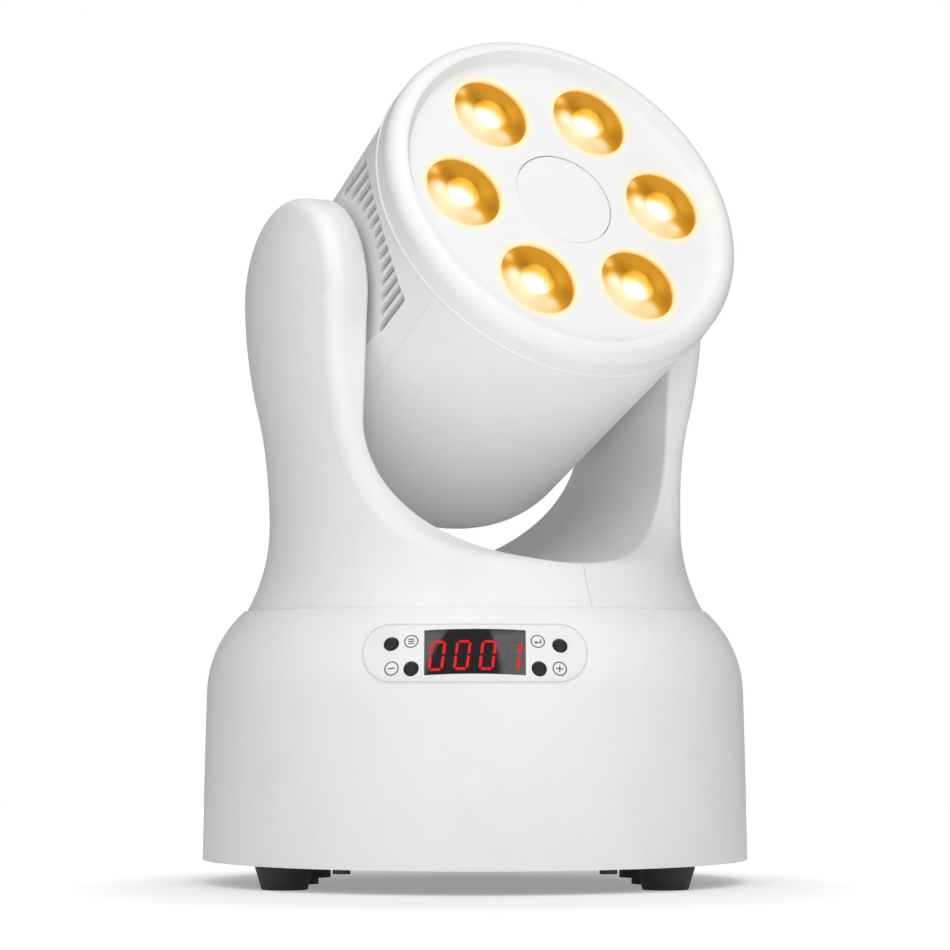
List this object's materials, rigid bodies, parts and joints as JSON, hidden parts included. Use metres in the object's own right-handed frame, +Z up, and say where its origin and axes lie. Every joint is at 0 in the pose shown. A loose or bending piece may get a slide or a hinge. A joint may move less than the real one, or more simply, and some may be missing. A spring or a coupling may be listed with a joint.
{
  "type": "moving head light",
  "caption": "Small moving-head wash light: round base with display and buttons, panning fork, tilting round head with a ring of lenses",
  "frame": {"origin": "centre of the base on the plane of the feet's treads, under the pan axis", "axes": "+Z up along the pan axis, -Y towards the control panel, +X to the panel's right"},
  "size_m": [0.1804, 0.1814, 0.2755],
  "materials": {
    "shell_white": "satin moulded ABS, very fine texture, light handling wear",
    "bezel_white": "satin to semi-gloss moulded ABS",
    "label_film": "printed clear film over the white shell",
    "display_glass": "smoked acrylic, polished",
    "button_black": "matte black caps",
    "foot_rubber": "matte black rubber",
    "lens_clear": "bead-textured collimator lens, lit amber",
    "black_metal": "black powder coat",
    "zinc_steel": "zinc-plated sheet steel",
    "dark_steel": "black oxide screws",
    "black_plastic": "black nylon",
    "socket_metal": "nickel-plated die casting",
    "circuit_green": "solder-masked glass-epoxy board",
    "circuit_white": "white solder-masked aluminium board",
    "heat_sink_metal": "bare extruded aluminium",
    "motor_black": "black motor body",
    "belt_rubber": "fabric-backed black rubber",
    "pulley_metal": "turned aluminium"
  },
  "bodies": {
    "base": {"base_housing": "shell_white", "control_label": "label_film", "display_window": "display_glass", "display_module": "display_glass", "panel_board": "circuit_green", "base_plate": "black_metal", "foot_front_left": "foot_rubber", "foot_front_right": "foot_rubber", "foot_rear_left": "foot_rubber", "foot_rear_right": "foot_rubber", "base_screws": "dark_steel", "rear_panel": "black_metal", "rear_panel_screws": "dark_steel", "power_inlet": "black_plastic", "dmx_input_socket": "socket_metal", "dmx_output_socket": "black_plastic", "power_supply_board": "circuit_green", "control_board": "circuit_green", "pan_bearing": "zinc_steel", "pan_motor": "motor_black", "pan_motor_bracket": "zinc_steel", "pan_belt": "belt_rubber"},
    "yoke": {"pan_shaft": "zinc_steel", "pan_pulley": "pulley_metal", "yoke_cover_right": "shell_white", "yoke_cover_left": "shell_white", "yoke_liner": "shell_white", "yoke_frame": "zinc_steel", "yoke_screws": "dark_steel", "tilt_bearings": "zinc_steel", "tilt_motor": "motor_black", "tilt_belt": "belt_rubber"},
    "head": {"head_top_cover": "shell_white", "head_bottom_cover": "shell_white", "head_side_panel_right": "shell_white", "head_side_panel_left": "shell_white", "head_rear_cover": "shell_white", "rear_cover_screws": "dark_steel", "front_bezel": "bezel_white", "centre_cover": "bezel_white", "lens_1": "lens_clear", "lens_2": "lens_clear", "lens_3": "lens_clear", "lens_4": "lens_clear", "lens_5": "lens_clear", "lens_6": "lens_clear", "lens_holder": "black_plastic", "led_board": "circuit_white", "heat_sink": "heat_sink_metal", "fan_frame": "black_plastic", "head_frame": "zinc_steel", "tilt_shafts": "zinc_steel", "tilt_pulley": "pulley_metal"},
    "fan": {"fan_rotor": "black_plastic"},
    "pan_motor_rotor": {"pan_motor_pulley": "pulley_metal"},
    "tilt_motor_rotor": {"tilt_motor_pulley": "pulley_metal"},
    "button_menu": {"button_menu": "button_black"},
    "button_down": {"button_down": "button_black"},
    "button_enter": {"button_enter": "button_black"},
    "button_up": {"button_up": "button_black"}
  },
  "joints": [
    {"name": "pan", "type": "hinge", "parent": "base", "child": "yoke", "pos_m": [0, 0, 0.0887], "axis": [0, 0, 1], "range_deg": [-270, 270]},
    {"name": "tilt", "type": "hinge", "parent": "yoke", "child": "head", "pos_m": [0, 0, 0.1894], "axis": [-0.8718, -0.4898, 0], "range_deg": [-43.24, 166.76]},
    {"name": "pan_motor_spin", "type": "hinge", "parent": "base", "child": "pan_motor_rotor", "pos_m": [-0.048, 0, 0.0745], "axis": [0, 0, 1], "range_deg": [-1355, 1355]},
    {"name": "tilt_motor_spin", "type": "hinge", "parent": "yoke", "child": "tilt_motor_rotor", "pos_m": [0.05545, 0.03115, 0.106], "axis": [-0.8718, -0.4898, 0], "range_deg": [-165, 630]},
    {"name": "fan_spin", "type": "hinge", "parent": "head", "child": "fan", "pos_m": [-0.01804, 0.0321, 0.16962], "axis": [0.4315, -0.768, 0.4732], "continuous": true},
    {"name": "button_menu_press", "type": "slide", "parent": "base", "child": "button_menu", "axis": [0, 0.9336, -0.3584], "range_m": [0, 0.0006], "stiffness_N_per_m": 300},
    {"name": "button_down_press", "type": "slide", "parent": "base", "child": "button_down", "axis": [0, 0.9336, -0.3584], "range_m": [0, 0.0006], "stiffness_N_per_m": 300},
    {"name": "button_enter_press", "type": "slide", "parent": "base", "child": "button_enter", "axis": [0, 0.9336, -0.3584], "range_m": [0, 0.0006], "stiffness_N_per_m": 300},
    {"name": "button_up_press", "type": "slide", "parent": "base", "child": "button_up", "axis": [0, 0.9336, -0.3584], "range_m": [0, 0.0006], "stiffness_N_per_m": 300}
  ],
  "couplings": [
    {"joint": "pan_motor_spin", "follows": "pan", "ratio": 5},
    {"joint": "tilt_motor_spin", "follows": "tilt", "ratio": 3.7525}
  ]
}
